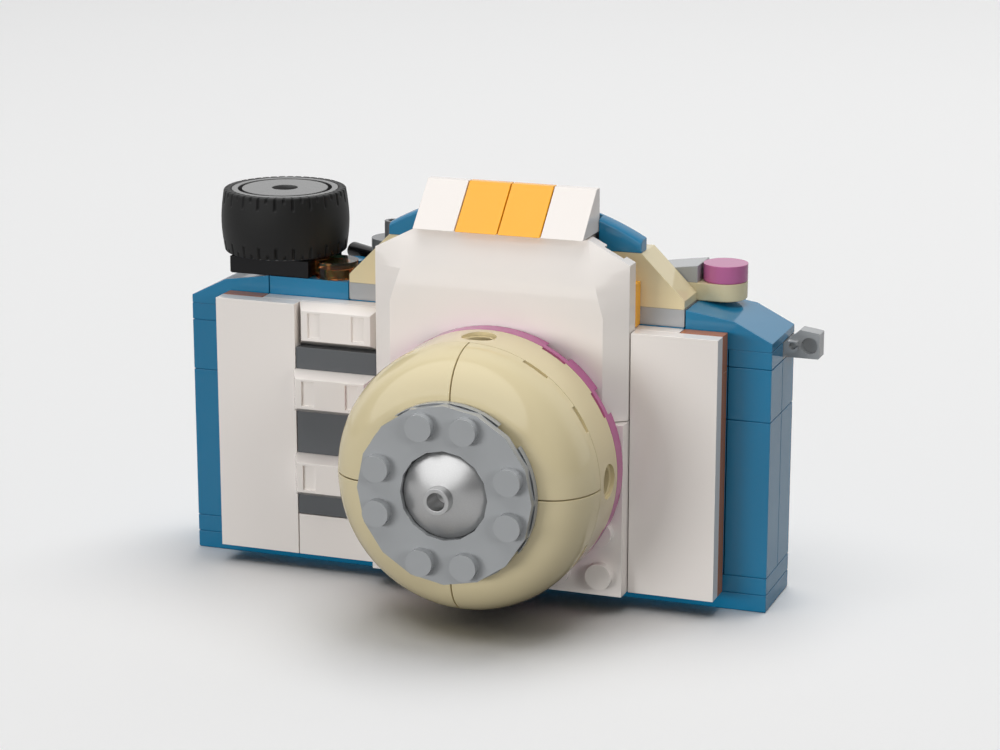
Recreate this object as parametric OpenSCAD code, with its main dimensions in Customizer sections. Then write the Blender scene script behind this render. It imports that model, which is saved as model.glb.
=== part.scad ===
// Toy camera built from interlocking bricks.
// Origin: centre of the underside of the base plate. +X right, -Y to the front, +Z up.
// Five plates are as high as two studs are wide, so bricks can be built on the front as well as on the top.

/* [Bricks] */
// Pitch of the studs, which sets every brick, plate and tile
pitch = 8; // [7:0.5:10]
// Diameter of a stud
stud_d = 4.8; // [4.4:0.1:5.2]
// Height of a stud
stud_h = 1.7; // [1.4:0.1:1.8]
// Free width on each side of a brick
play = 0.1; // [0.05:0.05:0.2]
// Height and depth of the relief round the foot of a brick
relief = 0.16; // [0.1:0.02:0.3]
// Side wall of a hollow piece
wall = 1.5; // [1.2:0.1:2]
// Top wall of a hollow piece
roof_t = 1; // [0.8:0.1:1.2]
// Radial gap round a stud in its pocket
stud_fit = 0.05; // [0.03:0.01:0.1]
// Upright lip at the foot of a sloped brick
lip_h = 1.6; // [1.2:0.1:2]

/* [Lens] */
// Wall of the ring brick and of the domes
barrel_wall = 1.6; // [1.4:0.1:2.2]
// Pin hole in the ring brick
pin_bore_d = 4.8; // [4.4:0.1:5]
// Widened mouth of a pin hole
pin_mouth_d = 6.2; // [5.8:0.1:6.8]
// Depth of the mouth of a pin hole
pin_mouth_t = 0.8; // [0.6:0.1:1.2]
// Outside of the tube round a pin hole
pin_boss_d = 7.4; // [7:0.1:8]
// Height of the curved part of the silver cap
cap_dome_h = 3.05; // [2.6:0.05:3.4]
// How far the cap's rim lies behind the face of the stud ring
cap_sink = 1; // [0.8:0.05:1.2]

/* [Hood] */
// Depth of the hood over its side walls
hood_side_t = 3.5; // [3:0.1:4]
// Height of the flat part of the hood's front
hood_flat_h = 18.8; // [16:0.2:22]
// Radius of the curved top of the hood
hood_r = 26.5; // [26:0.5:32]
// Inset of the crease along the sides of the hood
hood_crease = 4; // [3:0.2:5]
// Drop of the cut corners of the hood
hood_corner_h = 4.1; // [3:0.1:5]

/* [Grille] */
// Upright lip of a grille bar
bar_lip = 1.2; // [0.8:0.1:1.6]
// Inset of the top of a grille bar
bar_inset = 1.1; // [0.8:0.1:1.4]
// Size of a recess along the bar
bar_recess_w = 2.45; // [2:0.05:3]
// Size of a recess across the bar
bar_recess_l = 4.6; // [4:0.1:5]
// Depth of a recess
bar_recess_t = 0.4; // [0.3:0.1:0.8]

/* [Dial] */
// Thickness of the tyre at its middle
tyre_t = 2.01; // [1.6:0.01:2.2]
// Diameter of the rim that carries the tyre
rim_d = 19.84; // [18.5:0.1:20]
// Width of the wheel
wheel_w = 11.9; // [11:0.1:12.5]
// How much narrower the tyre is than the wheel
tyre_margin = 0.3; // [0.2:0.05:0.6]
// Diameter of the flat disc in the wheel's face
disc_d = 16; // [14:0.2:16.5]
// Diameter of the pin that the wheel turns on
dial_pin_d = 4.7; // [4.2:0.1:4.8]
// Radial running gap round the pin
run_gap = 0.05; // [0.02:0.01:0.1]
// Number of long tread grooves along each shoulder
tread_n = 22; // [16:1:24]
// Width of a tread groove
tread_w = 0.5; // [0.4:0.05:0.8]
// Depth of a tread groove
tread_t = 0.5; // [0.4:0.05:0.8]
// Length of a long tread groove
tread_long = 2; // [1.6:0.1:3]
// Length of a short tread groove
tread_short = 0.7; // [0.5:0.1:1.2]

/* [Lever] */
// Diameter of the lever's bar
bar_d = 3.1; // [2.8:0.1:3.1]
// Reach of the lever's bar from its hub's axis
lever_reach = 13.4; // [11:0.2:15]
// Direction of the lever's bar, from +X
lever_angle = 146; // [120:1:148]
// Height of the upright bar over its tile
post_h = 3.2; // [2.4:0.1:5]
// Bore of the upright bar
post_bore_d = 1.7; // [1.2:0.1:2]

/* [Strap lug] */
// Reach of the lug from the side of the body
lug_reach = 6.2; // [5.8:0.1:8]
// Thickness of the lug's block, front to back
lug_t = 3.2; // [2.8:0.1:4]
// Diameter of the lug's socket
lug_bore_d = 3; // [2.4:0.1:3.2]

/* [Hidden] */
$fn = 64;
over = 0.5;
plate_share = 0.4;
plate = pitch * plate_share;
body_studs = 14;
depth_studs = 2;
barrel_studs = 6;
front_studs = 4;
core_studs = 2;
barrel_d = barrel_studs * pitch;
front_d = front_studs * pitch;
ring_bore_d = core_studs * pitch;
round_d = pitch;
front_y = -depth_studs * pitch / 2;
pocket_d = stud_d + 2 * stud_fit;
pocket_h = stud_h + stud_fit;

// Heights of the courses, in plates, and the levels that they start at
sill_n = 1;
wall_n = 9;
upper_n = 3;
row_n = 1;
deck_n = 1;
prism_n = 3;
wall_level_n = 2 * sill_n;
upper_level_n = wall_level_n + wall_n;
row_level_n = upper_level_n + upper_n;
top_level_n = row_level_n + row_n;
deck_level_n = top_level_n + deck_n;
fit_level_n = deck_level_n + deck_n;
arch_level_n = fit_level_n + prism_n;

// Places on the grid: across, front to back, up in plates, up the front in studs, out of the front in plates
function gx(n) = (n - body_studs / 2) * pitch;
function gy(n) = front_y + n * pitch;
function pz(n) = n * plate;
function sz(n) = plate + n * pitch;
function fy(n) = front_y - n * plate;

// Puts a piece on the top side, in studs from the left rear corner of the front row
module on_top(level) translate([gx(0), gy(0), pz(level)]) children();
// Puts a piece on the front side: its x runs right, its y up and its z out of the front
module on_front(layer) translate([gx(0), fy(layer), sz(0)]) rotate([90, 0, 0]) children();

// Closed brick of w by d studs and h plates, with a shallow relief round its foot
module slab(x, y, w, d, h)
  translate([x * pitch, y * pitch, 0]) {
    translate([play + relief, play + relief, 0])
      cube([w * pitch - 2 * (play + relief), d * pitch - 2 * (play + relief), h * plate / 2]);
    translate([play, play, relief])
      cube([w * pitch - 2 * play, d * pitch - 2 * play, h * plate - relief]);
  }

// Studs on top of a piece of h plates
module studs(xs, ys, h)
  for (x = xs, y = ys)
    translate([x * pitch, y * pitch, h * plate - stud_h]) cylinder(d = stud_d, h = 2 * stud_h);

// Pockets in the foot of a piece that sits on such studs
module pockets(xs, ys)
  for (x = xs, y = ys)
    translate([x * pitch, y * pitch, -over]) cylinder(d = pocket_d, h = pocket_h + over);

module blue() color([0.16, 0.44, 0.60]) children();
module white() color([0.93, 0.92, 0.91]) children();
module tan() color([0.80, 0.76, 0.60]) children();
module grey() color([0.62, 0.64, 0.65]) children();
module dark() color([0.35, 0.37, 0.38]) children();
module pink() color([0.78, 0.40, 0.60]) children();
module amber() color([1.0, 0.72, 0.28]) children();
module copper() color([0.50, 0.30, 0.22]) children();
module black() color([0.07, 0.07, 0.08]) children();

// Base plate, open below, with a tube between each four studs
tube_d = pitch * sqrt(2) - stud_d;
tube_bore_d = stud_d;
module base_plate() blue() on_top(0) difference() {
  slab(0, 0, body_studs, depth_studs, 1);
  difference() {
    translate([play + wall, play + wall, -over])
      cube([body_studs * pitch - 2 * (play + wall), depth_studs * pitch - 2 * (play + wall),
        plate - roof_t + over]);
    for (i = [1:body_studs - 1])
      translate([i * pitch, pitch, -over]) cylinder(d = tube_d, h = plate + over);
  }
  for (i = [1:body_studs - 1])
    translate([i * pitch, pitch, -over]) cylinder(d = tube_bore_d, h = plate - roof_t + over);
}

module sill_left() blue() on_top(sill_n) slab(0, 0, 8, 2, sill_n);
module sill_right() blue() on_top(sill_n) slab(8, 0, 6, 2, sill_n);
module corner_brick_fl() blue() on_top(wall_level_n) slab(0, 0, 1, 1, wall_n);
module corner_brick_fr() blue() on_top(wall_level_n) slab(13, 0, 1, 1, wall_n);
module core_brick() blue() on_top(wall_level_n) slab(1, 0, 12, 1, wall_n);
module wall_brick_rl() blue() on_top(wall_level_n) slab(0, 1, 4, 1, wall_n);
module wall_brick_rm() blue() on_top(wall_level_n) slab(4, 1, 6, 1, wall_n);
module wall_brick_rr() blue() on_top(wall_level_n) slab(10, 1, 4, 1, wall_n);
module upper_corner_l() blue() on_top(upper_level_n) slab(0, 0, 1, 1, upper_n);
module upper_corner_r() blue() on_top(upper_level_n) slab(13, 0, 1, 1, upper_n);
module upper_core() blue() on_top(upper_level_n) slab(1, 0, 12, 1, upper_n);
module upper_rear_l() blue() on_top(upper_level_n) slab(0, 1, 6, 1, upper_n);
module upper_rear_r() blue() on_top(upper_level_n) slab(6, 1, 8, 1, upper_n);
module plate_row_l() blue() on_top(row_level_n) slab(0, 0, 6, 2, row_n);
module plate_row_r() blue() on_top(row_level_n) slab(6, 0, 7, 2, row_n);
module plate_row_corner() blue() on_top(row_level_n) slab(13, 0, 1, 1, row_n);

// End slope: two flat facets that meet in a crease
slope_run_share = 0.4375;
slope_rise_share = 0.79;
module end_slope() {
  run = 2 * pitch - 2 * play;
  rise = 2 * plate;
  translate([play, 2 * pitch - play, 0]) rotate([90, 0, 0])
    linear_extrude(2 * pitch - 2 * play)
      polygon([[0, relief], [relief, 0], [run - relief, 0], [run, relief], [run, rise],
        [run * slope_run_share, rise * slope_rise_share], [0, lip_h]]);
}
module end_slope_l() blue() on_top(top_level_n) end_slope();
module end_slope_r() blue() on_top(top_level_n)
  translate([body_studs * pitch, 0, 0]) mirror([1, 0, 0]) end_slope();
module top_block() blue() on_top(top_level_n) {
  slab(2, 0, 2, 2, 2);
  studs([2.5, 3.5], [0.5, 1.5], 2);
}
module deck_lower() blue() on_top(top_level_n) slab(4, 0, 8, 2, 1);
module deck_upper() grey() on_top(deck_level_n) {
  slab(4, 0, 8, 2, 1);
  studs([4.5:11.5], [1.5], 1);
}

// Plates that lie on the front
module spacer_copper() copper() on_front(0) {
  slab(1, 0, 1, 6, 1);
  slab(12, 0, 1, 6, 1);
}
module spacer_white_l() white() on_front(0) slab(2, 0, 4, 6, 1);
module spacer_white_m() white() on_front(0) slab(6, 0, 4, 6, 1);
module spacer_white_r() white() on_front(0) slab(10, 0, 2, 6, 1);
module spacer_orange() amber() on_front(0) slab(5, 6, 6, 1, 1);
module panel_l() white() on_front(1) slab(1, 0, 2, 6, 1);
module panel_r() white() on_front(1) slab(11, 0, 2, 6, 1);
module backing_plate() white() on_front(1) slab(5, 0, 6, 4, 1);
// The four middle studs hold the flange, and the others show round its rim
module lens_plate() white() on_front(2) {
  slab(5, 0, 6, 4, 1);
  studs([7.5, 8.5], [2.5, 3.5], 1);
  studs([5.5, 10.5], [0.5, 1.5], 1);
  studs([6.5, 9.5], [0.5], 1);
}

// Grille: a jumper plate with two studs on its middle line, and bevelled bars
module grille_tile() white() on_front(1) slab(3, 0, 2, 1, 1);
module grille_plate() dark() on_front(1) {
  slab(3, 1, 2, 4, 1);
  studs([4], [2, 4], 1);
}
bar_recess_at_share = 0.15;
module bar_profile(l) polygon([[0, relief], [relief, 0], [l - relief, 0], [l, relief], [l, bar_lip],
  [l - bar_inset, plate], [bar_inset, plate], [0, bar_lip]]);
module grille_bar(x, y, seated) {
  l = 2 * pitch - 2 * play;
  w = pitch - 2 * play;
  translate([x * pitch + play, y * pitch + play, 0]) difference() {
    intersection() {
      translate([0, w, 0]) rotate([90, 0, 0]) linear_extrude(w) bar_profile(l);
      rotate([90, 0, 90]) linear_extrude(l) bar_profile(w);
    }
    for (side = [0, 1])
      translate([side * l, 0, 0]) mirror([side, 0, 0])
        translate([l * bar_recess_at_share, (w - bar_recess_l) / 2, plate - bar_recess_t])
          cube([bar_recess_w, bar_recess_l, plate]);
    if (seated)
      translate([l / 2, w / 2, -over]) cylinder(d = pocket_d, h = pocket_h + over);
  }
}
module grille_bar_top() white() on_front(1) grille_bar(3, 5, false);
module grille_bar_mid() white() on_front(2) grille_bar(3, 3.5, true);
module grille_bar_low() white() on_front(2) grille_bar(3, 1.5, true);

// Hood over the lens: flat low down, curved back at the top, with bevelled flanks and cut corners
hood_w = 6 * pitch;
hood_h = 4 * pitch;
hood_t = 2 * plate;
hood_corner_w = pitch;
hood_bend_h = hood_h - hood_corner_h - lip_h;
hood_notch_w = pitch / 2;
hood_notch_t = plate / 2;
function hood_main(h) = h <= hood_flat_h ? hood_t
  : hood_t - hood_r + sqrt(pow(hood_r, 2) - pow(h - hood_flat_h, 2));
function hood_cut(h) = max(0, (h - hood_h + hood_corner_h) / hood_corner_h * hood_corner_w);
function hood_crease_at(h) = h <= hood_flat_h ? hood_crease
  : hood_crease + (hood_corner_w - hood_crease) * (h - hood_flat_h) / (hood_h - hood_flat_h);
function hood_edge(h) = h <= hood_bend_h ? hood_side_t
  : hood_side_t + (hood_main(hood_h) - hood_side_t) * (h - hood_bend_h) / (hood_h - hood_bend_h);
function hood_section(h) = [
  [play + hood_cut(h), 0], [play + hood_cut(h), hood_edge(h)],
  [max(hood_crease_at(h), hood_cut(h) + relief), max(hood_main(h), hood_edge(h))],
  [hood_w - max(hood_crease_at(h), hood_cut(h) + relief), max(hood_main(h), hood_edge(h))],
  [hood_w - play - hood_cut(h), hood_edge(h)], [hood_w - play - hood_cut(h), 0]];
hood_steps = 5;
hood_levels = concat([play], [hood_flat_h],
  [for (i = [1:hood_steps]) hood_flat_h + (hood_bend_h - hood_flat_h) * i / hood_steps],
  [hood_h - hood_corner_h], [hood_h - hood_corner_h / 2], [hood_h - play]);
module hood_body() {
  n = len(hood_levels);
  m = 6;
  polyhedron(
    points = [for (h = hood_levels, p = hood_section(h)) [p[0], h, p[1]]],
    faces = concat(
      [[for (i = [0:m - 1]) i]],
      [[for (i = [0:m - 1]) n * m - 1 - i]],
      [for (k = [0:n - 2], i = [0:m - 1]) let (j = (i + 1) % m)
        [k * m + i, (k + 1) * m + i, (k + 1) * m + j]],
      [for (k = [0:n - 2], i = [0:m - 1]) let (j = (i + 1) % m)
        [k * m + i, (k + 1) * m + j, k * m + j]]));
}
module hood() white() on_front(1) translate([5 * pitch, 4 * pitch, 0]) difference() {
  hood_body();
  translate([hood_crease, wall, -over])
    cube([hood_w - 2 * hood_crease, hood_bend_h - 2 * wall, hood_side_t - roof_t / 2 + over]);
  for (side = [0, 1])
    translate([side * hood_w, hood_h - hood_corner_h, 0]) mirror([side, 0, 0])
      rotate([0, 0, atan(hood_corner_h / hood_corner_w)])
        translate([hood_notch_w / 2, -hood_notch_t, -over])
          cube([hood_notch_w, hood_corner_w, hood_notch_t + over]);
}

// Lens, on the studs of the lens plate; local z runs out of the front
lens_across_n = 8;
lens_up_n = 3;
module lens_at(layer) on_front(layer)
  translate([lens_across_n * pitch, lens_up_n * pitch, 0]) children();
ring_h = 3 * plate;
rim_stud_share = [2.5, 1.5];
rim_notch_l = stud_d + 2 * stud_fit;
rim_notch_t = 0.5;
rim_notch_h = 1;
core_d = ring_bore_d - 2 * play;

// Cuts the rim open over the two studs of each quarter that reach past it
module rim_notches()
  for (a = [0:3], flip = [0, 1])
    rotate([0, 0, a * 90 + (flip ? atan(rim_stud_share[0] / rim_stud_share[1])
        : atan(rim_stud_share[1] / rim_stud_share[0]))])
      translate([barrel_d / 2 - rim_notch_t, -rim_notch_l / 2, -over])
        cube([barrel_d, rim_notch_l, rim_notch_h + over]);

module lens_flange() pink() lens_at(3) difference() {
  union() {
    translate([0, 0, relief]) cylinder(d = barrel_d, h = plate - relief);
    cylinder(d = barrel_d - 2 * relief, h = plate / 2);
  }
  pockets([-0.5, 0.5], [-0.5, 0.5]);
  for (a = [0:3], flip = [0, 1])
    rotate([0, 0, a * 90]) mirror([0, flip, 0])
      pockets([rim_stud_share[0]], [rim_stud_share[1]]);
}

module pin_cut() rotate([0, 90, 0]) {
  cylinder(d = pin_bore_d, h = barrel_d);
  translate([0, 0, (barrel_d + ring_bore_d) / 4 - pin_mouth_t - over])
    cylinder(d = pin_mouth_d, h = pin_mouth_t + over);
  translate([0, 0, barrel_d / 2 - pin_mouth_t]) cylinder(d = pin_mouth_d, h = pin_mouth_t + barrel_wall);
}
module lens_ring() tan() lens_at(4) difference() {
  union() {
    difference() {
      union() {
        translate([0, 0, relief]) cylinder(d = barrel_d, h = ring_h - relief);
        cylinder(d = barrel_d - 2 * relief, h = ring_h / 2);
      }
      translate([0, 0, -over]) difference() {
        cylinder(d = barrel_d - 2 * barrel_wall, h = ring_h - barrel_wall + over);
        cylinder(d = ring_bore_d + 2 * barrel_wall, h = ring_h);
      }
    }
    for (a = [0:3])
      rotate([0, 0, a * 90]) translate([(barrel_d + ring_bore_d) / 4 - pin_mouth_t, 0, ring_h / 2])
        rotate([0, 90, 0]) cylinder(d = pin_boss_d, h = (barrel_d - ring_bore_d) / 4 - barrel_wall / 2);
  }
  translate([0, 0, -over]) cylinder(d = ring_bore_d, h = ring_h + 2 * over);
  for (a = [0:3])
    rotate([0, 0, a * 90]) translate([0, 0, ring_h / 2]) intersection() {
      pin_cut();
      translate([(barrel_d + ring_bore_d) / 4 - pin_mouth_t - over, -barrel_d / 2, -barrel_d / 2])
        cube([barrel_d, barrel_d, barrel_d]);
    }
  rim_notches();
}

// Four quarter domes, each with a quarter-ellipse outline and a flat front that the stud ring sits on
dome_h = 3 * plate;
dome_steps = 12;
dome_run = (barrel_d - front_d) / 2;
function dome_arc(r0, run, rise) = [for (i = [0:dome_steps])
  [r0 + run * cos(90 * i / dome_steps), rise * sin(90 * i / dome_steps)]];
module dome_profile() polygon(concat(
  [[barrel_d / 2 - barrel_wall, 0], [barrel_d / 2, 0]],
  dome_arc(front_d / 2, dome_run, dome_h),
  [[core_d / 2 + play, dome_h], [core_d / 2 + play, dome_h - barrel_wall],
    [front_d / 2 - barrel_wall, dome_h - barrel_wall]],
  [for (i = [dome_steps - 1:-1:1])
    [front_d / 2 - barrel_wall + dome_run * cos(90 * i / dome_steps),
      (dome_h - barrel_wall) * sin(90 * i / dome_steps)]]));
module lens_domes() tan() lens_at(7) difference() {
  rotate_extrude($fn = 96) dome_profile();
  for (a = [0, 1])
    rotate([0, 0, a * 90]) translate([-barrel_d, -play, -over])
      cube([2 * barrel_d, 2 * play, dome_h + 2 * over]);
  rim_notches();
}

cap_rim_t = plate / 4;
core_h = 7 * plate - stud_fit - cap_sink - cap_rim_t;
module lens_core() dark() lens_at(4) difference() {
  cylinder(d = core_d, h = core_h);
  translate([0, 0, -over]) cylinder(d = core_d - 2 * barrel_wall, h = core_h - barrel_wall + over);
}

// The ring's face is a plate with sixteen corners on a round rim. The rim has a groove under the face's edge and
// is notched between the studs
stud_ring_sides = 16;
stud_ring_face_t = 1.3;
stud_ring_bed_t = 0.4;
stud_ring_groove_l = 1;
stud_ring_groove_w = 1.2;
stud_ring_lip_t = 0.16;
stud_ring_notch_t = 1.4;
stud_ring_rim_h = plate - stud_ring_face_t;
module lens_stud_ring() grey() lens_at(10) difference() {
  union() {
    difference() {
      union() {
        translate([0, 0, relief]) cylinder(d = front_d, h = stud_ring_rim_h - relief);
        cylinder(d = front_d - 2 * relief, h = stud_ring_rim_h / 2);
      }
      translate([0, 0, stud_ring_rim_h - stud_ring_groove_l]) difference() {
        cylinder(d = front_d - 2 * stud_ring_lip_t, h = plate);
        cylinder(d = front_d - 2 * stud_ring_lip_t - 2 * stud_ring_groove_w, h = plate);
      }
      for (a = [0:3])
        rotate([0, 0, a * 90 + 45]) translate([front_d / 2 - stud_ring_notch_t, -rim_notch_l / 2, -over])
          cube([front_d, rim_notch_l, plate + over]);
    }
    translate([0, 0, stud_ring_rim_h - stud_ring_bed_t])
      cylinder(d = front_d, h = stud_ring_face_t + stud_ring_bed_t, $fn = stud_ring_sides);
    for (s = [-0.5, 0.5], t = [-1.5, 1.5])
      studs([s], [t], 1);
    for (s = [-1.5, 1.5], t = [-0.5, 0.5])
      studs([s], [t], 1);
  }
  translate([0, 0, -over]) cylinder(d = ring_bore_d, h = stud_ring_rim_h - stud_ring_bed_t + over);
  translate([0, 0, -over]) cylinder(d = ring_bore_d, h = plate + 2 * over, $fn = stud_ring_sides);
}

// Shallow silver dome with a hollow stud, sunk a little in the hole of the stud ring
cap_d = ring_bore_d * cos(180 / stud_ring_sides) - 2 * play;
cap_bore_share = 0.66;
cap_r = (pow(cap_d / 2, 2) + pow(cap_dome_h, 2)) / (2 * cap_dome_h);
module lens_cap() color([0.75, 0.76, 0.78]) lens_at(4) translate([0, 0, core_h]) difference() {
  union() {
    cylinder(d = cap_d, h = cap_rim_t);
    intersection() {
      translate([0, 0, cap_rim_t + cap_dome_h - cap_r]) sphere(r = cap_r, $fn = 96);
      cylinder(d = cap_d, h = cap_rim_t + cap_dome_h + stud_h);
    }
    cylinder(d = stud_d, h = cap_rim_t + cap_dome_h + stud_h);
  }
  translate([0, 0, cap_rim_t]) cylinder(d = stud_d * cap_bore_share, h = cap_dome_h + 2 * stud_h);
}

// Prism: two slopes at 45 degrees and the brick between them
module prism_slope() {
  run = 2 * pitch - 2 * play;
  rise = 3 * plate;
  translate([play, pitch - play, 0]) rotate([90, 0, 0])
    linear_extrude(pitch - 2 * play)
      polygon([[0, relief], [relief, 0], [run - relief, 0], [run, relief], [run, rise],
        [rise - lip_h, rise], [0, lip_h]]);
}
module prism_slope_l() tan() on_top(fit_level_n) translate([4 * pitch, 0, 0]) prism_slope();
module prism_slope_r() tan() on_top(fit_level_n)
  translate([12 * pitch, 0, 0]) mirror([1, 0, 0]) prism_slope();
module prism_brick() tan() on_top(fit_level_n) slab(6, 0, 4, 1, 3);

// Arch over the prism: an arc of a circle along its top, with its middle cut back for the flash
arch_rise = pitch;
arch_w = 6 * pitch - 2 * play;
arch_t = plate;
arch_r = (pow(arch_w / 2, 2) + pow(arch_rise - lip_h, 2)) / (2 * (arch_rise - lip_h));
arch_edge_w = 1.2;
arch_edge_h = 0.55;
arch_edge_share = 0.6;
carrier_t = lip_h;
flash_back = lip_h / 2;
module arch_slice(front, raise)
  translate([8 * pitch, arch_t, 0]) rotate([90, 0, 0])
    linear_extrude(arch_t - front) intersection() {
      translate([-arch_w / 2, 0]) square([arch_w, arch_rise + raise]);
      translate([0, arch_rise - arch_r]) circle(r = arch_r + raise, $fn = 180);
    }
module arch() blue() on_top(arch_level_n) difference() {
  union() {
    arch_slice(0, 0);
    arch_slice(arch_edge_w / 3, arch_edge_h * arch_edge_share);
    arch_slice(arch_edge_w, arch_edge_h);
  }
  translate([6 * pitch, -over, -over])
    cube([4 * pitch, flash_back + carrier_t + over, arch_rise + arch_edge_h + 2 * over]);
}

// Flash: four 45-degree slopes on their backs, on the studs of an upright carrier
flash_low = sz(8);
flash_high = sz(9);
carrier_inset = 0.8;
module flash_carrier() grey() {
  translate([gx(6) + carrier_inset, front_y + flash_back, pz(arch_level_n)])
    cube([4 * pitch - 2 * carrier_inset, carrier_t, flash_high - lip_h - pz(arch_level_n)]);
  for (i = [0:3])
    translate([gx(6.5 + i), front_y + flash_back + carrier_t / 2, (flash_low + flash_high) / 2])
      rotate([90, 0, 0]) cylinder(d = stud_d, h = stud_h + carrier_t / 2);
}
module flash_slope(n) {
  low = flash_low + play;
  high = flash_high - play;
  translate([gx(n) + play, front_y + flash_back, 0]) difference() {
    rotate([90, 0, 90]) linear_extrude(pitch - 2 * play)
      polygon([[0, low + relief], [0, high - relief], [-relief, high], [-lip_h - play, high],
        [-lip_h - play - high + low, low], [-relief, low]]);
    translate([pitch / 2 - play, over, (low + high) / 2])
      rotate([90, 0, 0]) cylinder(d = pocket_d, h = pocket_h + over);
  }
}
module flash_white() white() for (n = [6, 9]) flash_slope(n);
module flash_amber() amber() for (n = [7, 8]) flash_slope(n);

// Dial: a tyre on a wheel that turns on a pin
dial_x = gx(2);
dial_y = gy(1);
dial_z = pz(fit_level_n + 1);
wheel_lift = 2 * run_gap;
wheel_web = 3;
wheel_hub_d = 8;
wheel_groove_t = 2;
wheel_groove_d = 17.48;
tyre_w = wheel_w - tyre_margin;
tyre_lift = wheel_lift + tyre_margin;
tyre_d = rim_d + 2 * tyre_t;
tyre_shoulder_t = 1.48;
tyre_face_d = rim_d + 2 * tyre_shoulder_t;
tyre_round = 0.4;
pin_drop = 2.4;
module dial_plate() black() {
  on_top(fit_level_n) difference() {
    slab(1, 0, 2, 2, 1);
    pockets([2.5], [0.5, 1.5]);
  }
  translate([dial_x, dial_y, dial_z - plate / 2])
    cylinder(d = dial_pin_d, h = plate / 2 + wheel_lift + wheel_w - pin_drop);
}
module dial_wheel() dark() translate([dial_x, dial_y, dial_z + wheel_lift]) difference() {
  cylinder(d = rim_d, h = wheel_w);
  translate([0, 0, -over]) cylinder(d = dial_pin_d + 2 * run_gap, h = wheel_w + 2 * over);
  translate([0, 0, wheel_w - wheel_groove_t]) difference() {
    cylinder(d = wheel_groove_d, h = wheel_w);
    cylinder(d = disc_d, h = wheel_w);
  }
  translate([0, 0, -over]) difference() {
    cylinder(d = wheel_groove_d, h = wheel_w - wheel_web - wheel_groove_t + over);
    cylinder(d = wheel_hub_d, h = wheel_w);
  }
}
module tyre_profile()
  polygon([[rim_d / 2 + run_gap, 0], [tyre_face_d / 2 - tyre_round, 0], [tyre_face_d / 2, tyre_round],
    [tyre_d / 2, tyre_w / 4], [tyre_d / 2, tyre_w * 3 / 4], [tyre_face_d / 2, tyre_w - tyre_round],
    [tyre_face_d / 2 - tyre_round, tyre_w], [rim_d / 2 + run_gap, tyre_w]]);
tread_step = 360 / tread_n;
module tread_groove(at, l, end)
  rotate([0, 0, (at + tread_turn_share) * tread_step])
    translate([tyre_face_d / 2 - tread_t, -tread_w / 2, end ? tyre_w - tyre_round / 2 - l : -over])
      cube([tyre_d, tread_w, tyre_round / 2 + l + over]);
tread_turn_share = 0.42;
module dial_tyre() black() translate([dial_x, dial_y, dial_z + tyre_lift]) difference() {
  rotate_extrude($fn = 96) tyre_profile();
  for (i = [0:tread_n - 1], end = [0, 1]) {
    tread_groove(i, tread_long, end);
    tread_groove(i + 0.5, tread_short, end);
  }
}

// One-stud round tile
module round_tile() difference() {
  union() {
    translate([0, 0, relief]) cylinder(d = round_d, h = plate - relief);
    cylinder(d = round_d - 2 * relief, h = plate / 2);
  }
  translate([0, 0, -over]) cylinder(d = pocket_d, h = pocket_h + over);
}
module amber_tile() amber() translate([gx(3.5), gy(0.5), pz(fit_level_n)]) round_tile();

// Rewind lever: a round plate with a bar, which swings on a stud, and a tile with an upright bar
lever_x = gx(4.5);
lever_y = gy(1.5);
collar_d = 4;
collar_l = 0.6;
module lever_base() black() translate([lever_x, lever_y, pz(fit_level_n)]) {
  round_tile();
  translate([0, 0, plate - relief]) cylinder(d = stud_d, h = stud_h + relief);
  rotate([0, 0, lever_angle]) translate([0, 0, plate / 2]) rotate([0, 90, 0]) {
    translate([0, 0, round_d / 2 - collar_l]) cylinder(d = bar_d, h = lever_reach - round_d / 2 + collar_l);
  }
}
module lever_tile() dark() translate([lever_x, lever_y, pz(fit_level_n + 1)]) difference() {
  union() {
    round_tile();
    translate([0, 0, plate - relief]) cylinder(d = bar_d, h = post_h + relief);
  }
  translate([0, 0, plate]) cylinder(d = post_bore_d, h = 2 * post_h);
}

// Shutter: a plate with rounded ends, a round tile as its button and a low wedge that stops it turning
wedge_high = 3.1;
wedge_low = 2;
module shutter_plate() tan() on_top(fit_level_n) difference() {
  union() {
    rounded_strip(relief, 0, plate / 2);
    rounded_strip(0, relief, plate - relief);
    studs([12.5], [1.5], 1);
  }
  pockets([11.5], [1.5]);
}
module rounded_strip(inset, z0, h) translate([11.5 * pitch, 1.5 * pitch, z0]) {
  cylinder(d = round_d - 2 * inset, h = h);
  translate([pitch, 0, 0]) cylinder(d = round_d - 2 * inset, h = h);
  translate([0, -round_d / 2 + inset, 0]) cube([pitch, round_d - 2 * inset, h]);
}
module shutter_tile() pink() translate([gx(12.5), gy(1.5), pz(fit_level_n + 1)]) round_tile();

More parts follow.
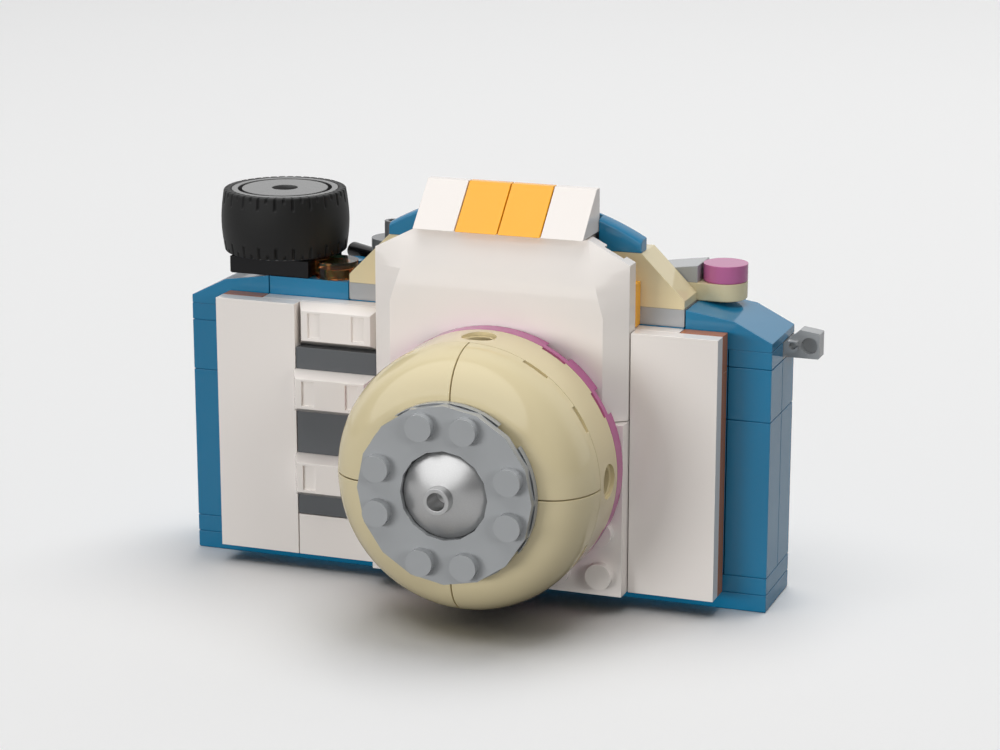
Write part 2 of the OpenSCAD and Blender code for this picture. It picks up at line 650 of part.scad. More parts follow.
// Strap lug: a plate in the body's side with a hooked tab and a block with a round socket
lug_share = [[0, 0.09], [0.96, 0.09], [1, 0.16], [1, 1.5], [0.96, 1.55], [0.42, 1.69], [0, 0.94]];
lug_gap = 1.5;
lug_socket_share = [0.68, 0.81];
lug_jaw_l = 2.5;
lug_jaw_d = 1.3;
lug_mouth_t = 0.5;
jaw_share = [[0, 0.1], [0, 0.96], [0.28, 1.12], [0.98, 1.08], [1, 0.9], [1, 0.62], [0.8, 0.48], [0.12, 0.37]];
jaw_hole_share = [0.64, 0.84];
module strap_lug() grey() {
  on_top(row_level_n) slab(13, 1, 1, 1, row_n);
  translate([gx(body_studs) - wall, gy(1) + lug_gap + lug_t, pz(row_level_n)]) rotate([90, 0, 0])
    difference() {
      union() {
        translate([wall - play, 0]) linear_extrude(lug_t)
          polygon([for (p = lug_share) [p[0] * lug_reach, p[1] * plate]]);
        translate([0, relief]) cube([wall, plate - 2 * relief, lug_t]);
      }
      translate([wall + lug_socket_share[0] * lug_reach, lug_socket_share[1] * plate, lug_t / 2])
        cylinder(d = lug_bore_d, h = lug_t);
    }
  translate([gx(body_studs) - play, gy(1) + lug_gap + relief, pz(row_level_n)]) rotate([90, 0, 0])
    linear_extrude(lug_gap + relief - play) difference() {
      polygon([for (p = jaw_share) [p[0] * lug_jaw_l, p[1] * plate]]);
      translate([jaw_hole_share[0] * lug_jaw_l, jaw_hole_share[1] * plate]) {
        circle(d = lug_jaw_d);
        translate([0, -lug_mouth_t / 2]) square([lug_jaw_l, lug_mouth_t]);
      }
    }
}

// Low wedge beside the button
module shutter_wedge() grey() translate([gx(11) + play, gy(2) - play, pz(fit_level_n + 1)]) rotate([90, 0, 0])
  linear_extrude(pitch - 2 * play)
    polygon([[0, 0], [pitch - 2 * play, 0], [pitch - 2 * play, wedge_high], [0, wedge_low]]);

base_plate();
sill_left();
sill_right();
corner_brick_fl();
corner_brick_fr();
wall_brick_rl();
wall_brick_rr();
wall_brick_rm();
core_brick();
upper_corner_l();
upper_corner_r();
upper_core();
upper_rear_l();
upper_rear_r();
plate_row_l();
plate_row_r();
plate_row_corner();
end_slope_l();
end_slope_r();
top_block();
deck_lower();
deck_upper();
spacer_copper();
spacer_white_l();
spacer_white_m();
spacer_white_r();
spacer_orange();
panel_l();
panel_r();
grille_tile();
grille_plate();
grille_bar_top();
grille_bar_mid();
grille_bar_low();
backing_plate();
lens_plate();
hood();
lens_flange();
lens_ring();
lens_domes();
lens_core();
lens_stud_ring();
lens_cap();
prism_slope_l();
prism_slope_r();
prism_brick();
arch();
flash_carrier();
flash_white();
flash_amber();
dial_plate();
dial_wheel();
dial_tyre();
amber_tile();
lever_base();
lever_tile();
shutter_plate();
shutter_tile();
shutter_wedge();
strap_lug();
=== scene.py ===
# Toy camera built from interlocking bricks, dressed and lit for its portrait.
import math

import bmesh
import bpy
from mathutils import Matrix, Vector


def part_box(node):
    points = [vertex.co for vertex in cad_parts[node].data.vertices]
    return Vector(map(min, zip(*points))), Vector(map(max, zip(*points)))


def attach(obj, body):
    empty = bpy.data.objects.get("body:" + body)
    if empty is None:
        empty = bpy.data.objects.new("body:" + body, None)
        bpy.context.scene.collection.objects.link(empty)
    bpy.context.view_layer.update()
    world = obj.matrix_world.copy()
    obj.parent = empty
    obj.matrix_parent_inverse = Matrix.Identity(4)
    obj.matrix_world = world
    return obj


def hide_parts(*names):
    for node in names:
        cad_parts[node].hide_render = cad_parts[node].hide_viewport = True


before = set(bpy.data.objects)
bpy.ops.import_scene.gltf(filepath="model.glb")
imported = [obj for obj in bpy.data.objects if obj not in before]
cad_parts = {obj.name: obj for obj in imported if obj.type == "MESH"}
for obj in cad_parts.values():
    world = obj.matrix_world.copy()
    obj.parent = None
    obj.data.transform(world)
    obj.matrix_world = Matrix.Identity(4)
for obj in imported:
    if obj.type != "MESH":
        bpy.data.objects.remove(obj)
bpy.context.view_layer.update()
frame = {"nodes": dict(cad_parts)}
part = frame["nodes"]


# Studio.
# A long lens looks from the front right, a little from above, over a pale table without a seam. The light is
# broad and soft, mostly from above and from the left. Shiny pieces mirror a bright cloth, not the lamps.
scene = bpy.context.scene
scene.view_settings.view_transform = "Standard"
MM = 0.001
FOCAL_MM, SENSOR_MM = 99.43, 36.0
EYE_AT = (0.17027, -0.46195, 0.16804)
EYE_TURN = (math.radians(75.10), 0.0, math.radians(19.95))
SEEN_FROM, SEEN_TO = 0.01, 50.0


class Blend:
    """A socket of a node tree. Arithmetic on it adds Math nodes to the same tree."""

    def __init__(self, tree, socket):
        self.tree, self.socket = tree, socket

    def reckon(self, operation, *terms):
        """The result of one Math node on these terms, in their order."""
        step = self.tree.nodes.new("ShaderNodeMath")
        step.operation = operation
        for slot, term in zip(step.inputs, terms):
            if isinstance(term, Blend):
                self.tree.links.new(term.socket, slot)
            else:
                slot.default_value = term
        return Blend(self.tree, step.outputs[0])

    def __add__(self, other):
        return self.reckon("ADD", self, other)

    def __radd__(self, other):
        return self.reckon("ADD", other, self)

    def __sub__(self, other):
        return self.reckon("SUBTRACT", self, other)

    def __rsub__(self, other):
        return self.reckon("SUBTRACT", other, self)

    def __mul__(self, other):
        return self.reckon("MULTIPLY", self, other)

    def __rmul__(self, other):
        return self.reckon("MULTIPLY", other, self)

    def __truediv__(self, other):
        return self.reckon("DIVIDE", self, other)

    def __gt__(self, other):
        return self.reckon("GREATER_THAN", self, other)

    def __lt__(self, other):
        return self.reckon("LESS_THAN", self, other)

    def __mod__(self, other):
        return self.reckon("FLOORED_MODULO", self, other)

    def __abs__(self):
        return self.reckon("ABSOLUTE", self)

    def at_least(self, floor):
        return self.reckon("MAXIMUM", self, floor)

    def at_most(self, ceiling):
        return self.reckon("MINIMUM", self, ceiling)

    def cosine(self):
        return self.reckon("COSINE", self)

    def sine(self):
        return self.reckon("SINE", self)


class Recipe:
    """A node tree under construction: add() makes one node, sets it up, then feeds its sockets."""

    def __init__(self, tree):
        self.tree = tree
        tree.nodes.clear()

    def add(self, kind, setup=None, feed=None, out=0):
        """Returns the output that out names, a list of them where out is a list, or else the bare node."""
        node = self.tree.nodes.new(kind)
        for name, value in (setup or {}).items():
            if name == "points":
                curve = node.mapping.curves[0]
                while len(curve.points) < len(value):
                    curve.points.new(0.5, 0.5)
                for point, spot in zip(curve.points, value):
                    point.location, point.handle_type = spot, "VECTOR"
                node.mapping.update()
            else:
                setattr(node, name, value)
        for name, value in (feed or {}).items():
            if isinstance(value, Blend):
                self.tree.links.new(value.socket, node.inputs[name])
            else:
                node.inputs[name].default_value = value
        if isinstance(out, list):
            return [Blend(self.tree, node.outputs[name]) for name in out]
        return Blend(self.tree, node.outputs[out]) if node.outputs else node


def looked_at(recipe, in_mirror=1.0):
    """1 where the background is seen straight on or through a clear piece, in_mirror in a shiny one."""
    straight, mirrored, through = recipe.add("ShaderNodeLightPath", out=[
        "Is Camera Ray", "Is Glossy Ray", "Is Transmission Ray"])
    return straight.at_least(in_mirror * mirrored).at_least(through)


def grey(tone):
    """A grey of this brightness, from 0 to 1."""
    return tone, tone, tone, 1.0


def set_up(name, data):
    """Puts a new object with this mesh, lamp or lens in the scene."""
    thing = bpy.data.objects.new(name, data)
    scene.collection.objects.link(thing)
    return thing


eye = set_up("eye", bpy.data.cameras.new("eye"))
eye.data.lens, eye.data.sensor_width = FOCAL_MM, SENSOR_MM
eye.data.clip_start, eye.data.clip_end = SEEN_FROM, SEEN_TO
eye.location, eye.rotation_euler = EYE_AT, EYE_TURN
scene.camera = eye

# What is seen: a pale backdrop, a dim room in front of it and the bright cloth. What lights: a faint fill.
BACKDROP, BACKDROP_FADE = 0.885, 3.0
ROOM, ROOM_ABOVE = 0.12, 0.3
CLOTH_TOWARDS, CLOTH_LIGHT = (-0.35, -0.65, 0.68), 1.45
CLOTH_FROM, CLOTH_SHARPNESS = 0.67, 25.0
FILL, FILL_ABOVE = 0.03, 0.12
sky = bpy.data.worlds.new("studio air")
scene.world = sky
sky.use_nodes = True
air = Recipe(sky.node_tree)
heading = air.add("ShaderNodeTexCoord", out="Generated")
depth, height = air.add("ShaderNodeSeparateXYZ", feed={0: heading}, out=["Y", "Z"])
overhead = height.at_least(0.0)
backdrop = (BACKDROP_FADE * depth).at_most(1.0).at_least(ROOM + ROOM_ABOVE * overhead)
toward = air.add("ShaderNodeVectorMath", {"operation": "DOT_PRODUCT"}, {
    0: heading, 1: CLOTH_TOWARDS}, out="Value")
cloth = ((toward - CLOTH_FROM) * CLOTH_SHARPNESS).at_least(0.0).at_most(1.0)
lit = air.add("ShaderNodeBackground", feed={
    "Color": grey(1.0), "Strength": FILL + FILL_ABOVE * overhead * overhead})
shown = air.add("ShaderNodeBackground", feed={
    "Color": grey(BACKDROP), "Strength": backdrop + CLOTH_LIGHT * cloth})
both = air.add("ShaderNodeMixShader", feed={0: looked_at(air), 1: lit, 2: shown})
air.add("ShaderNodeOutputWorld", feed={"Surface": both})

TABLE_HALF = 12.0
table = bpy.data.meshes.new("table")
table.from_pydata(
    [(-TABLE_HALF, -TABLE_HALF, 0), (TABLE_HALF, -TABLE_HALF, 0), (TABLE_HALF, TABLE_HALF, 0),
     (-TABLE_HALF, TABLE_HALF, 0)], [], [(0, 1, 2, 3)])
table_top = set_up("table", table)
FOOT = Vector((0.0, 0.0, 0.03))


def softbox(name, place, width, height, power, on_table=True, on_camera=True):
    """A rectangular lamp, in metres and watts, that faces the foot of the camera.

    It may leave out the table, or light it alone.
    """
    lamp = bpy.data.lights.new(name, "AREA")
    lamp.shape, lamp.size, lamp.size_y, lamp.energy = "RECTANGLE", width, height, power
    holder = set_up(name, lamp)
    holder.location = place
    holder.visible_glossy = False
    holder.rotation_euler = (Vector(place) - FOOT).to_track_quat("Z", "Y").to_euler()
    if not (on_table and on_camera):
        aim = bpy.data.collections.new(name + " aim")
        aim.objects.link(table_top)
        aim.collection_objects[0].light_linking.link_state = "INCLUDE" if on_table else "EXCLUDE"
        holder.light_linking.receiver_collection = aim


softbox("top box", (0.15, 0.55, 2.00), 1.5, 1.3, 25.0)
softbox("back box", (0.25, 1.75, 1.50), 3.0, 1.25, 7.0)
softbox("table box", (0.00, 0.70, 1.90), 3.2, 2.6, 3.0, on_camera=False)
softbox("front box", (-0.30, -0.75, 2.10), 1.6, 1.1, 12.5)
softbox("low front box", (0.0, -2.75, 0.35), 2.5, 0.6, 11.5, on_table=False)
softbox("low left box", (-1.50, -2.25, 0.30), 1.25, 0.5, 31.0, on_table=False)
softbox("right box", (2.00, -1.20, 0.80), 1.0, 0.7, 14.0, on_table=False)


def new_finish(name):
    """A material, the recipe for its nodes, and the place on a piece that its patterns follow."""
    finish = bpy.data.materials.new(name)
    finish.use_nodes = True
    mix = Recipe(finish.node_tree)
    return finish, mix, mix.add("ShaderNodeTexCoord", out="Object")


def mottle(mix, at, scale, detail):
    """Cloudy noise around one half, finer with a higher scale."""
    return mix.add("ShaderNodeTexNoise", feed={"Vector": at, "Scale": scale, "Detail": detail})


def surface(mix, feed):
    """The shader that ends a recipe."""
    mix.add("ShaderNodeOutputMaterial", feed={"Surface": mix.add("ShaderNodeBsdfPrincipled", feed=feed)})


PAPER_TONES, PAPER_BOUNCE, PAPER_IN_MIRROR = (0.93, 0.94), 0.15, 0.6
paper, sheet, sheet_at = new_finish("seamless paper")
tone = sheet.add("ShaderNodeMix", {"data_type": "RGBA"}, {
    "Factor": mottle(sheet, sheet_at, scale=3.0, detail=2.0),
    "A": grey(PAPER_TONES[0]), "B": grey(PAPER_TONES[1])}, out="Result")
dim = sheet.add("ShaderNodeMix", {"data_type": "RGBA"}, {
    "Factor": looked_at(sheet, PAPER_IN_MIRROR), "A": grey(PAPER_BOUNCE), "B": tone}, out="Result")
surface(sheet, {"Base Color": dim, "Roughness": 0.9, "Specular IOR Level": 0.1})
table.materials.append(paper)


# Body bricks.
# Closed bricks and plates of dark azure styrene, moulded with a bright polish and pushed together stud in
# tube. Their edges are just broken, and each shot of plastic has a faint cloudiness and hairline wear.
HAIRLINE, HAIRLINE_ACROSS = 0.69, 0.70
HAIRLINE_DEPTH, DULLED = 0.06, 0.06


def moulded(name, colour, polish=0.07, cloud=0.03, shine=0.5):
    """Polished styrene: a cloudy tone, hairlines that run in two directions, and a slightly wavy skin."""
    finish, mix, at = new_finish(name)
    haze = mottle(mix, at, scale=42.0, detail=3.0)
    ripple = mottle(mix, at, scale=160.0, detail=1.0)
    along = mix.add("ShaderNodeMapping", feed={
        "Vector": at, "Rotation": (0.3, 0.5, 0.4), "Scale": (60.0, 2600.0, 2600.0)})
    across = mix.add("ShaderNodeMapping", feed={
        "Vector": at, "Rotation": (0.9, -0.6, 1.2), "Scale": (2400.0, 50.0, 2400.0)})
    hair = mottle(mix, along, scale=1.0, detail=2.0) > HAIRLINE
    hair_across = mottle(mix, across, scale=1.0, detail=2.0) > HAIRLINE_ACROSS
    scuff = (hair + hair_across) * haze
    shade = mix.add("ShaderNodeVectorMath", {"operation": "SCALE"}, {
        0: colour, "Scale": (1.0 - cloud) + 2.0 * cloud * haze})
    skin = mix.add("ShaderNodeBump", feed={
        "Strength": 0.05, "Distance": 0.4 * MM, "Height": ripple + HAIRLINE_DEPTH * scuff})
    surface(mix, {
        "Base Color": shade, "Roughness": polish + DULLED * haze + DULLED * scuff, "IOR": 1.53,
        "Specular IOR Level": shine, "Normal": skin})
    return finish


EDGE_BREAK = 0.14 * MM
SAME_POINT = 0.002 * MM
SAME_PLANE = math.radians(0.3)
SHARP_FROM = math.radians(32)


def dress(names, finish, edge=EDGE_BREAK, sharp=SHARP_FROM):
    """Gives carried-over pieces their finish and breaks their sharp edges."""
    for name in names:
        piece = part[name]
        piece.data.materials.clear()
        piece.data.materials.append(finish)
        piece.data.shade_smooth()
        if "custom_normal" in piece.data.attributes:
            piece.data.attributes.remove(piece.data.attributes["custom_normal"])
        weld = piece.modifiers.new("join", "WELD")
        weld.merge_threshold = SAME_POINT
        flat = piece.modifiers.new("flats", "DECIMATE")
        flat.decimate_type, flat.angle_limit = "DISSOLVE", SAME_PLANE
        broken = piece.modifiers.new("edges", "BEVEL")
        broken.width, broken.segments = edge, 2
        broken.limit_method, broken.angle_limit = "ANGLE", sharp
        broken.harden_normals = True
        broken.use_clamp_overlap = True


azure = moulded("azure styrene", (0.010, 0.182, 0.350))
dress([
    "base_plate", "sill_left", "sill_right", "corner_brick_fl", "corner_brick_fr", "wall_brick_rl",
    "wall_brick_rm", "wall_brick_rr", "core_brick", "upper_corner_l", "upper_corner_r", "upper_core",
    "upper_rear_l", "upper_rear_r", "plate_row_l", "plate_row_r", "plate_row_corner", "end_slope_l",
    "end_slope_r", "top_block", "deck_lower"], azure)


# Front cladding.
# White, copper-brown and orange plates lie on the front. White tiles, grille bars and the curved hood lie on
# them. The white is a warm opaque styrene with a high polish, and the brown is duller.
chalk = moulded("warm white styrene", (0.87, 0.82, 0.78), polish=0.06, cloud=0.008)
rust = moulded("copper-brown styrene", (0.440, 0.160, 0.066), polish=0.2, shine=0.3)
sunny = moulded("orange-yellow styrene", (0.96, 0.450, 0.022), cloud=0.015)
HOOD_SHARP_FROM = math.radians(24)
dress([
    "spacer_white_l", "spacer_white_m", "spacer_white_r", "panel_l", "panel_r", "backing_plate",
    "lens_plate", "grille_tile", "grille_bar_top", "grille_bar_mid", "grille_bar_low"], chalk)
dress(["hood"], chalk, sharp=HOOD_SHARP_FROM)
dress(["spacer_copper"], rust)
dress(["spacer_orange"], sunny)


# Grille backing, deck and fittings.
# A dark jumper plate shows between the grille bars. Light grey plates of the same styrene carry the top and
# the flash, and the wedge by the shutter and the strap lug are grey too.
slate = moulded("dark stone styrene", (0.105, 0.112, 0.120), polish=0.12)
stone = moulded("light stone styrene", (0.375, 0.388, 0.398))
dress(["grille_plate"], slate)
dress(["deck_upper", "flash_carrier", "shutter_wedge", "strap_lug"], stone)


# Prism, shutter and flash.
# Two sand slopes and the brick between them stand on the deck. Beside them a sand plate carries the magenta
# shutter tile. Two white and two orange-yellow slopes hang on the studs of the flash carrier.
sand = moulded("sand styrene", (0.72, 0.62, 0.385), polish=0.03, cloud=0.012)
magenta = moulded("magenta styrene", (0.50, 0.125, 0.31))
dress(["prism_slope_l", "prism_slope_r", "prism_brick", "shutter_plate"], sand)
dress(["shutter_tile"], magenta)
dress(["flash_white"], chalk)
dress(["flash_amber"], sunny)


# Arch panels.
# Two azure panels rise in an arch behind the flash. Their front edge is a fine stair in the plain solids, so
# a copy of the mesh stands for them, with the stair drawn up into one rounded edge.
def copied(name):
    """A closed copy of a piece's mesh."""
    shell = bmesh.new()
    shell.from_mesh(part[name].data)
    bmesh.ops.remove_doubles(shell, verts=shell.verts, dist=SAME_POINT)
    return shell


def stand_in(name, label, shell):
    """Puts a reworked copy in the place of a piece."""
    mesh = bpy.data.meshes.new(label)
    shell.to_mesh(mesh)
    shell.free()
    piece = set_up(label, mesh)
    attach(piece, "camera")
    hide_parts(name)
    part[name] = piece


STEPS_BEHIND_FRONT = (0.4 * MM, 1.2 * MM)
ON_STEP, BESIDE = 0.02 * MM, 0.3 * MM
ARCH_SHARP_FROM = math.radians(40)
stair = copied("arch")
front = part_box("arch")[0].y
for step_at in STEPS_BEHIND_FRONT:
    rim = [spot for spot in stair.verts if abs(spot.co.y - front - step_at) < ON_STEP]
    tops = [max((other.co for other in rim if abs(other.co.x - spot.co.x) < BESIDE), key=lambda co: co.z)
            for spot in rim]
    for spot, top in zip(rim, [top.copy() for top in tops]):
        spot.co = top
bmesh.ops.remove_doubles(stair, verts=stair.verts, dist=SAME_POINT)
stand_in("arch", "arch_panels", stair)
dress(["arch"], azure, sharp=ARCH_SHARP_FROM)


# Lens barrel.
# A magenta round plate, a sand ring brick with pin holes and four sand quarter domes, stacked on the lens
# plate round a dark core brick.
dress(["lens_flange"], magenta)
dress(["lens_ring", "lens_domes"], sand)
dress(["lens_core"], slate)


# Stud ring.
# A round grey plate with eight studs. Its face has sixteen corners at the rim and in the bore, and between
# them the groove behind the face shows as dark slivers. A copy of the piece is cut to that outline.
CORNERS = 16
STEPS_ROUND = 96
BORE_CORNER, BORE_WALL = 7.96, 8.6
RIM_CORNER, PAST_RIM = 15.94, 20.0
RIM_CUT_FROM, RING_HIGH, PAST_FACE = 1.5, 3.2, 3.5
CRUMB, RING_SAME_PLANE = 0.02 * MM, math.radians(0.5)
RING_EDGE_BREAK = 0.07 * MM


def cornered(radius, turn):
    """How far an outline with its corners at this radius lies from the axis in one direction."""
    half = math.pi / CORNERS
    return radius * math.cos(half) / math.cos(turn % (2 * half) - half)


def tube(profile):
    """A closed tube round the lens axis. By direction, the profile gives (radius, height over the back)."""
    low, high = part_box("lens_stud_ring")
    across, up = (low.x + high.x) / 2, (low.z + high.z) / 2
    shell, loops = bmesh.new(), []
    for step in range(STEPS_ROUND):
        turn = 2 * math.pi * step / STEPS_ROUND
        loops.append([shell.verts.new((
            across + reach * MM * math.cos(turn), high.y - rise * MM, up + reach * MM * math.sin(turn)))
            for reach, rise in profile(turn)])
    for loop, following in zip(loops, loops[1:] + loops[:1]):
        for corner in range(len(loop)):
            after = (corner + 1) % len(loop)
            shell.faces.new((loop[corner], loop[after], following[after], following[corner]))
    bmesh.ops.recalc_face_normals(shell, faces=shell.faces)
    mesh = bpy.data.meshes.new("tube")
    shell.to_mesh(mesh)
    shell.free()
    return set_up("tube", mesh)


def bore_lining(turn):
    """Fills the bore out to its corners."""
    inner = cornered(BORE_CORNER, turn)
    return [(BORE_WALL, 0), (BORE_WALL, RING_HIGH), (inner, RING_HIGH), (inner, 0)]


def rim_offcut(turn):
    """Takes off what lies outside the rim's corners, above the cut."""
    outer = cornered(RIM_CORNER, turn)
    return [(outer, RIM_CUT_FROM), (PAST_RIM, RIM_CUT_FROM), (PAST_RIM, PAST_FACE), (outer, PAST_FACE)]


def settle(piece):
    """Turns what a piece's modifiers form into its own mesh, and removes them."""
    formed = bpy.data.meshes.new_from_object(piece.evaluated_get(bpy.context.evaluated_depsgraph_get()))
    piece.modifiers.clear()
    piece.data = formed
    return formed


stand_in("lens_stud_ring", "stud_ring", copied("lens_stud_ring"))
stud_ring = part["lens_stud_ring"]
tubes = {"UNION": tube(bore_lining), "DIFFERENCE": tube(rim_offcut)}
for operation, cutter in tubes.items():
    cut = stud_ring.modifiers.new("cut", "BOOLEAN")
    cut.operation, cut.object, cut.solver = operation, cutter, "EXACT"
ring_mesh = settle(stud_ring)
# The cuts leave crumbs of faces, which are swept up.
crumbs = bmesh.new()
crumbs.from_mesh(ring_mesh)
bmesh.ops.remove_doubles(crumbs, verts=crumbs.verts, dist=CRUMB)
bmesh.ops.dissolve_degenerate(crumbs, edges=crumbs.edges, dist=CRUMB)
bmesh.ops.dissolve_limit(crumbs, angle_limit=RING_SAME_PLANE, verts=crumbs.verts, edges=crumbs.edges)
crumbs.to_mesh(ring_mesh)
crumbs.free()
for cutter in tubes.values():
    bpy.data.objects.remove(cutter)
dress(["lens_stud_ring"], stone, edge=RING_EDGE_BREAK)


# Silver cap.
# A shallow dome with a hollow stud, pressed in the bore of the stud ring. It is moulded in grey and coated
# with satin silver lacquer full of fine flake.
def lacquered(name, colour):
    """Metallic lacquer: small flakes that differ in tone and stand a little proud, under a faint haze."""
    finish, mix, at = new_finish(name)
    flake = mix.add("ShaderNodeTexVoronoi", feed={"Vector": at, "Scale": 5200.0}, out="Distance")
    haze = mottle(mix, at, scale=260.0, detail=3.0)
    shade = mix.add("ShaderNodeVectorMath", {"operation": "SCALE"}, {
        0: colour, "Scale": 0.94 + 0.08 * flake + 0.04 * haze})
    skin = mix.add("ShaderNodeBump", feed={"Strength": 0.08, "Distance": 0.1 * MM, "Height": flake})
    surface(mix, {"Base Color": shade, "Metallic": 0.9, "Roughness": 0.30 + 0.06 * haze, "Normal": skin})
    return finish


silver = lacquered("satin silver lacquer", (0.58, 0.58, 0.58))
dress(["lens_cap"], silver)


# Dial wheel and its plate.
# A dark wheel with a flat disc face turns on the pin of a black plate. Both are moulded in styrene, with a
# finish that is less glossy than on the bricks.
jet = moulded("black styrene", (0.006, 0.006, 0.007), polish=0.14, shine=0.3)
coal = moulded("wheel styrene", (0.125, 0.125, 0.125), polish=0.2)
WHEEL_EDGE_BREAK = 0.1 * MM
dress(["dial_plate"], jet)
dress(["dial_wheel"], coal, edge=WHEEL_EDGE_BREAK)


# Tyre.
# A soft rubber band with rounded shoulders, and short and long grooves in turns along both of them. It is a
# sheet bent round by rule: its outline gives radius and height, and a groove lowers the radius.
PAIRS, COLUMNS_PER_PAIR, ROWS = 22, 28, 84
LONG_AT, SHORT_AT = 0.42, 0.92
TREAD_RADIUS, SHOULDER_DROP = 11.6 * MM, 1.1 * MM
SEAM = 0.004 * MM
SIDE_TO, SIDE_OUT = 0.10, 0.50
SHOULDER_FROM, SHOULDER_OVER, SHOULDER_STEPS = 0.12, 0.10, 6
SHOULDER_OUT, SHOULDER_RISE, SHOULDER_IN = 0.53, 0.20, 0.034
CROWN_FROM, CROWN_OVER, CROWN_STEPS = 0.22, 0.28, 10
CROWN_OUT, CROWN_RISE = 0.73, 0.27


def tyre_outline():
    """The outline from side to side of the sheet, in shares of the tyre's wall and of its width."""
    reach, climb = [(0.0, 0.0), (SIDE_TO, SIDE_OUT)], [(0.0, 0.0), (SIDE_TO, 0.0)]
    for step in range(SHOULDER_STEPS + 1):
        at = SHOULDER_FROM + SHOULDER_OVER * step / SHOULDER_STEPS
        turn = math.pi / 2 * step / SHOULDER_STEPS
        reach.append((at, SHOULDER_OUT + SHOULDER_RISE * math.sin(turn)))
        climb.append((at, SHOULDER_IN * (1 - math.cos(turn))))
    for step in range(1, CROWN_STEPS + 1):
        at = CROWN_FROM + CROWN_OVER * step / CROWN_STEPS
        turn = math.pi / 2 * step / CROWN_STEPS
        reach.append((at, CROWN_OUT + CROWN_RISE * math.sin(turn)))
        climb.append((at, SHOULDER_IN + (0.5 - SHOULDER_IN) * step / CROWN_STEPS))
    reach += [(1 - spot, value) for spot, value in reversed(reach[:-1])]
    climb += [(1 - spot, 1 - value) for spot, value in reversed(climb[:-1])]
    return reach, climb


def tyre_by_rule(sizes, rubber):
    """A tree that bends a grid into the tyre: across the grid runs the outline, along it the way round."""
    tree = bpy.data.node_groups.new("tyre by rule", "GeometryNodeTree")
    make = Recipe(tree)
    tree.interface.new_socket("Geometry", in_out="OUTPUT", socket_type="NodeSocketGeometry")
    for label, value in sizes.items():
        socket = tree.interface.new_socket(label, in_out="INPUT", socket_type="NodeSocketFloat")
        socket.default_value = value
    coat = tree.interface.new_socket("Rubber", in_out="INPUT", socket_type="NodeSocketMaterial")
    coat.default_value = rubber
    *given, coating = make.add("NodeGroupInput", out=[*sizes, "Rubber"])
    size = dict(zip(sizes, given))
    grid = make.add("GeometryNodeMeshGrid", feed={
        "Size X": 1.0, "Size Y": 1.0, "Vertices X": PAIRS * COLUMNS_PER_PAIR + 1, "Vertices Y": ROWS + 1},
        out="Mesh")
    place_x, place_y = make.add("ShaderNodeSeparateXYZ", feed={
        0: make.add("GeometryNodeInputPosition")}, out=["X", "Y"])
    around, across = place_x + 0.5, place_y + 0.5
    reach, climb = tyre_outline()
    outward = make.add("ShaderNodeFloatCurve", {"points": reach}, {"Value": across})
    upward = make.add("ShaderNodeFloatCurve", {"points": climb}, {"Value": across})
    width = size["Width"]
    radius = size["Inner Radius"] + (size["Crown Radius"] - size["Inner Radius"]) * outward
    height = width * upward
    in_pair = (around * float(PAIRS)) % 1.0
    half_groove = size["Groove Width"] / (2 * math.pi * TREAD_RADIUS / PAIRS) / 2
    from_edge = height.at_most(width - height)
    long_cut = (abs(in_pair - LONG_AT) < half_groove) * (from_edge < size["Long Groove"])
    short_cut = (abs(in_pair - SHORT_AT) < half_groove) * (from_edge < size["Short Groove"])
    tread = radius > size["Face Radius"] - SHOULDER_DROP
    radius = radius - size["Groove Depth"] * tread * long_cut.at_least(short_cut)
    turn = around * (2 * math.pi)
    spot = make.add("ShaderNodeCombineXYZ", feed={
        "X": radius * turn.cosine(), "Y": radius * turn.sine(), "Z": height})
    bent = make.add("GeometryNodeSetPosition", feed={"Geometry": grid, "Position": spot})
    closed = make.add("GeometryNodeMergeByDistance", feed={"Geometry": bent, "Distance": SEAM})
    smooth = make.add("GeometryNodeSetShadeSmooth", feed={"Geometry": closed})
    real = make.add("GeometryNodeRealizeInstances", feed={"Geometry": smooth})
    coated = make.add("GeometryNodeSetMaterial", feed={"Geometry": real, "Material": coating})
    make.add("NodeGroupOutput", feed={"Geometry": coated})
    return tree


def vulcanised(name):
    """Matt rubber with a fine grit and patches of bloom."""
    finish, mix, at = new_finish(name)
    grit = mottle(mix, at, scale=2400.0, detail=3.0)
    bloom = mottle(mix, at, scale=110.0, detail=4.0)
    shade = mix.add("ShaderNodeMix", {"data_type": "RGBA"}, {
        "Factor": bloom, "A": grey(0.008), "B": grey(0.014)}, out="Result")
    skin = mix.add("ShaderNodeBump", feed={"Strength": 0.25, "Distance": 0.04 * MM, "Height": grit})
    surface(mix, {
        "Base Color": shade, "Roughness": 0.42 + 0.16 * bloom, "Specular IOR Level": 0.3, "Normal": skin})
    return finish


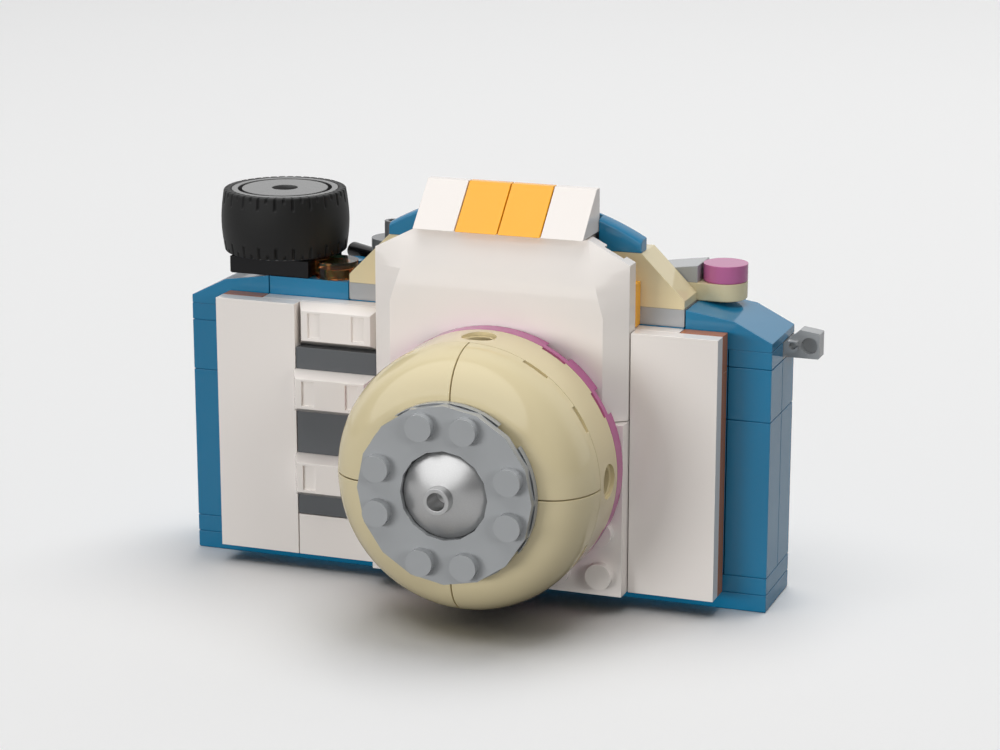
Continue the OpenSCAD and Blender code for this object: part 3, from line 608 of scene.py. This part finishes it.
rubber = vulcanised("tyre rubber")
tyre_low, tyre_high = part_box("dial_tyre")
middle = (tyre_low + tyre_high) / 2
tyre_sizes = {
    "Inner Radius": 9.97 * MM, "Face Radius": 11.4 * MM, "Crown Radius": 11.93 * MM, "Width": 11.6 * MM,
    "Groove Width": 0.5 * MM, "Groove Depth": 0.5 * MM, "Long Groove": 2.2 * MM, "Short Groove": 0.95 * MM}
tyre = set_up("tyre", bpy.data.meshes.new("tyre"))
bending = tyre.modifiers.new("bend", "NODES")
bending.node_group = tyre_by_rule(tyre_sizes, rubber)
for item in bending.node_group.interface.items_tree:
    if item.in_out == "INPUT":
        bending[item.identifier] = tyre_sizes.get(item.name, rubber)
tyre_mesh = settle(tyre)
band = bmesh.new()
band.from_mesh(tyre_mesh)
bmesh.ops.translate(band, verts=band.verts, vec=(middle.x, middle.y, tyre_low.z))
# The sheet ends at the two edges of the bore, so the bore is closed between them.
bmesh.ops.bridge_loops(band, edges=[edge for edge in band.edges if edge.is_boundary])
bmesh.ops.recalc_face_normals(band, faces=band.faces)
band.to_mesh(tyre_mesh)
band.free()
tyre_mesh.materials.clear()
tyre_mesh.materials.append(rubber)
tyre_mesh.shade_smooth()
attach(tyre, "dial")
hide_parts("dial_tyre")


# Clear amber tile.
# A round tile of clear amber polycarbonate. It is pressed on a stud beside the dial, and the blue under it
# shows through.
def cast_clear(name, tint):
    """Clear plastic with a faint swirl in its tint and on its skin."""
    finish, mix, at = new_finish(name)
    flow = mottle(mix, at, scale=120.0, detail=2.0)
    shade = mix.add("ShaderNodeVectorMath", {"operation": "SCALE"}, {0: tint, "Scale": 0.95 + 0.1 * flow})
    skin = mix.add("ShaderNodeBump", feed={"Strength": 0.04, "Distance": 0.3 * MM, "Height": flow})
    surface(mix, {
        "Base Color": shade, "Roughness": 0.03 + 0.03 * flow, "Transmission Weight": 1.0, "IOR": 1.35,
        "Normal": skin})
    return finish


dress(["amber_tile"], cast_clear("clear amber", (0.92, 0.32, 0.08)))


# Rewind lever.
# A black round plate with a bar swings on a stud. A dark grey round tile with an upright hollow bar is
# pressed on it and swings along.
dress(["lever_base"], jet)
dress(["lever_tile"], slate)
